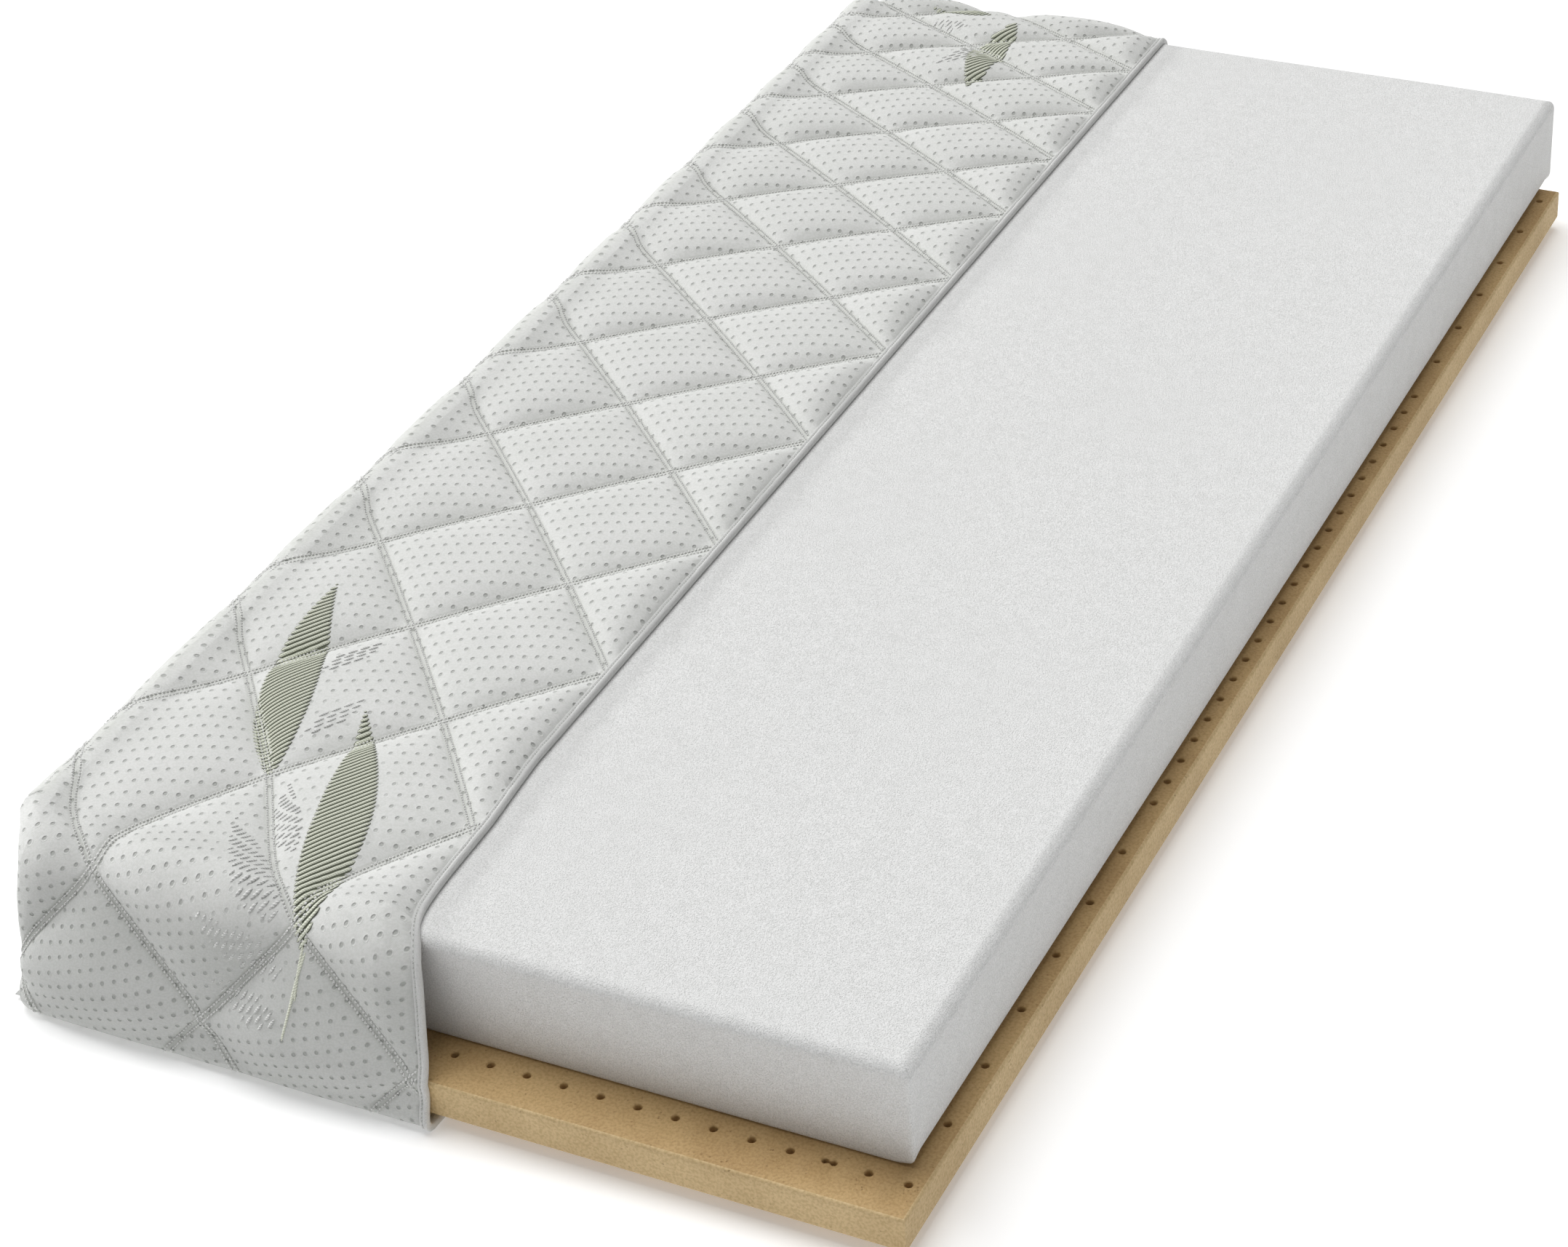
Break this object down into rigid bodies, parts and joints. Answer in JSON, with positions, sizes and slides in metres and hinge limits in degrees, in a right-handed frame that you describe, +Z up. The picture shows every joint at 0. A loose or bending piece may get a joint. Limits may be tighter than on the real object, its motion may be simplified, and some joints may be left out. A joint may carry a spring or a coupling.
{
  "type": "memory foam mattress",
  "caption": "Cutaway mattress sample: a foam core on a perforated latex base, half wrapped in a quilted zip cover with a slanted hemmed edge.",
  "frame": {"origin": "centre of the underside, on the surface that the mattress lies on", "axes": "+X across the width, towards the bare foam side; +Y along the length, from the foot towards the head; +Z up"},
  "size_m": [1.005, 2.1292, 0.1832],
  "materials": {
    "foam": "fine open-cell foam",
    "latex": "soft perforated latex foam",
    "cover_fabric": "jacquard knit, quilted",
    "wadding": "polyester fibre wadding",
    "lining": "woven grey lining",
    "base_fabric": "knit base cloth",
    "hem": "folded knit hem",
    "zip_tape": "woven tape",
    "zip_coil": "nylon coil",
    "zip_metal": "satin white lacquer",
    "label": "satin label tape"
  },
  "bodies": {
    "core": {"foam_core": "foam", "latex_base": "latex"},
    "cover": {"cover_knit": "cover_fabric", "wadding_top": "wadding", "wadding_front": "wadding", "wadding_rear": "wadding", "wadding_left_upper": "wadding", "wadding_left_lower": "wadding", "cover_lining": "lining", "base_panel": "base_fabric", "cut_hem": "hem", "zip_tape_upper": "zip_tape", "zip_tape_lower": "zip_tape", "zip_coil_upper": "zip_coil", "zip_coil_lower": "zip_coil", "zip_stop_front": "zip_coil", "zip_stop_rear": "zip_coil", "care_label": "label"},
    "zip_slider": {"zip_slider": "zip_metal"},
    "zip_pull": {"zip_pull": "zip_metal"}
  },
  "joints": [
    {"name": "cover_slide", "type": "slide", "parent": "core", "child": "cover", "axis": [-1, 0, 0], "range_m": [0, 0.5]},
    {"name": "zip_slide", "type": "slide", "parent": "cover", "child": "zip_slider", "axis": [0, 1, 0], "range_m": [0, 1.866]},
    {"name": "pull_swing", "type": "hinge", "parent": "zip_slider", "child": "zip_pull", "pos_m": [-0.5008, -0.901, 0.08], "axis": [0, 1, 0], "range_deg": [0, 165]}
  ]
}
